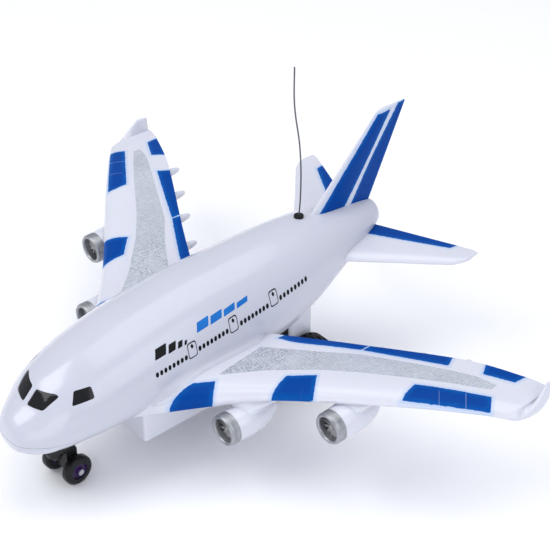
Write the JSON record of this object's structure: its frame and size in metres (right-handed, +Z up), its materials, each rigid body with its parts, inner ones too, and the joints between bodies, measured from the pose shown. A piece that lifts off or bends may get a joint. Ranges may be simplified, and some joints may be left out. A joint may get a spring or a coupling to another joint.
{
  "type": "toy airplane",
  "caption": "Radio-controlled toy jumbo jet with swept wings, round engines, a trailing twin nose wheel and a geared drive axle.",
  "frame": {"origin": "on the floor under the middle of the aircraft: the bottom centre of its box, with the wheels' lowest points at Z = 0", "axes": "nose towards -Y and tail towards +Y, port wing towards +X, +Z up"},
  "size_m": [0.399, 0.3147, 0.2146],
  "materials": {
    "white_shell": "glossy white moulded plastic, sprayed light and mid blue in places",
    "glazing_black": "glossy black panes",
    "lens_crystal": "clear silver-grey lens with a faceted underside",
    "lamp_clear": "clear lamp bodies",
    "intake_silver": "silver-painted plastic",
    "fan_grey": "dark grey plastic",
    "nose_wheel_black": "glossy black plastic",
    "hub_black": "black plastic",
    "tyre_rubber": "black rubber",
    "wire_coated": "spring steel with a dark coat",
    "soft_rubber": "black rubber",
    "black_plastic": "black moulded plastic",
    "zinc_steel": "zinc-plated steel",
    "nylon_white": "natural nylon",
    "brass": "plain brass",
    "cell_wrap": "plain printed wrap with no lettering",
    "board_green": "green solder mask",
    "component_black": "black component bodies"
  },
  "bodies": {
    "airframe": {"antenna_grommet": "soft_rubber", "antenna_wire": "wire_coated", "battery_cell_1": "cell_wrap", "battery_cell_2": "cell_wrap", "battery_cell_3": "cell_wrap", "battery_cell_4": "cell_wrap", "battery_contacts": "zinc_steel", "board_components": "component_black", "circuit_board": "board_green", "cockpit_glazing": "glazing_black", "fan_disc_inner_port": "fan_grey", "fan_disc_inner_starboard": "fan_grey", "fan_disc_outer_port": "fan_grey", "fan_disc_outer_starboard": "fan_grey", "fuselage_lower_shell": "white_shell", "fuselage_upper_shell": "white_shell", "gear_pins": "zinc_steel", "gearbox_case": "black_plastic", "gearbox_cover": "black_plastic", "gearbox_screws": "zinc_steel", "intake_ring_inner_port": "intake_silver", "intake_ring_inner_starboard": "intake_silver", "intake_ring_outer_port": "intake_silver", "intake_ring_outer_starboard": "intake_silver", "motor_can": "zinc_steel", "nacelle_inner_port": "white_shell", "nacelle_inner_starboard": "white_shell", "nacelle_outer_port": "white_shell", "nacelle_outer_starboard": "white_shell", "nose_pivot_screw": "zinc_steel", "shell_screws": "zinc_steel", "switch_body": "black_plastic", "tail_fin": "white_shell", "tailplane_port": "white_shell", "tailplane_starboard": "white_shell", "wing_lamps": "lamp_clear", "wing_lens_port": "lens_crystal", "wing_lens_starboard": "lens_crystal", "wing_lower_skin_port": "white_shell", "wing_lower_skin_starboard": "white_shell", "wing_upper_skin_port": "white_shell", "wing_upper_skin_starboard": "white_shell"},
    "caster": {"caster_fork": "black_plastic", "nose_axle": "zinc_steel"},
    "nose_wheel_port_body": {"nose_wheel_port": "nose_wheel_black"},
    "nose_wheel_starboard_body": {"nose_wheel_starboard": "nose_wheel_black"},
    "drive_axle_set": {"drive_axle": "zinc_steel", "axle_gear": "nylon_white", "wheel_hub_port": "hub_black", "wheel_hub_starboard": "hub_black", "main_tyre_port": "tyre_rubber", "main_tyre_starboard": "tyre_rubber"},
    "gear_b": {"compound_gear_b": "nylon_white"},
    "gear_a": {"compound_gear_a": "nylon_white"},
    "motor_rotor": {"motor_shaft": "zinc_steel", "motor_pinion": "brass"},
    "switch": {"switch_slider": "black_plastic"},
    "battery_cover": {"battery_door": "white_shell", "door_screw": "zinc_steel"}
  },
  "joints": [
    {"name": "caster_swivel", "type": "hinge", "parent": "airframe", "child": "caster", "pos_m": [0, -0.1283, 0.03], "axis": [0, 0, 1], "range_deg": [-35, 25]},
    {"name": "nose_wheel_port_spin", "type": "hinge", "parent": "caster", "child": "nose_wheel_port_body", "pos_m": [-0.0007, -0.12033, 0.0099], "axis": [0.9962, 0.0872, 0], "continuous": true},
    {"name": "nose_wheel_starboard_spin", "type": "hinge", "parent": "caster", "child": "nose_wheel_starboard_body", "pos_m": [-0.0007, -0.12033, 0.0099], "axis": [0.9962, 0.0872, 0], "continuous": true},
    {"name": "drive_axle_spin", "type": "hinge", "parent": "airframe", "child": "drive_axle_set", "pos_m": [0, 0.047, 0.019], "axis": [1, 0, 0], "continuous": true},
    {"name": "gear_b_spin", "type": "hinge", "parent": "airframe", "child": "gear_b", "pos_m": [0.016, 0.04389, 0.02755], "axis": [1, 0, 0], "continuous": true},
    {"name": "gear_a_spin", "type": "hinge", "parent": "airframe", "child": "gear_a", "pos_m": [0.016, 0.04389, 0.03665], "axis": [1, 0, 0], "continuous": true},
    {"name": "motor_spin", "type": "hinge", "parent": "airframe", "child": "motor_rotor", "pos_m": [0, 0.03836, 0.04324], "axis": [1, 0, 0], "continuous": true},
    {"name": "switch_slide", "type": "slide", "parent": "airframe", "child": "switch", "axis": [1, 0, 0], "range_m": [0, 0.004]},
    {"name": "battery_cover_slide", "type": "slide", "parent": "airframe", "child": "battery_cover", "axis": [0, 0, -1], "range_m": [0, 0.015]}
  ],
  "couplings": [
    {"joint": "gear_b_spin", "follows": "drive_axle_spin", "ratio": -2.6},
    {"joint": "gear_a_spin", "follows": "drive_axle_spin", "ratio": 6.76},
    {"joint": "motor_spin", "follows": "drive_axle_spin", "ratio": -21.97}
  ]
}
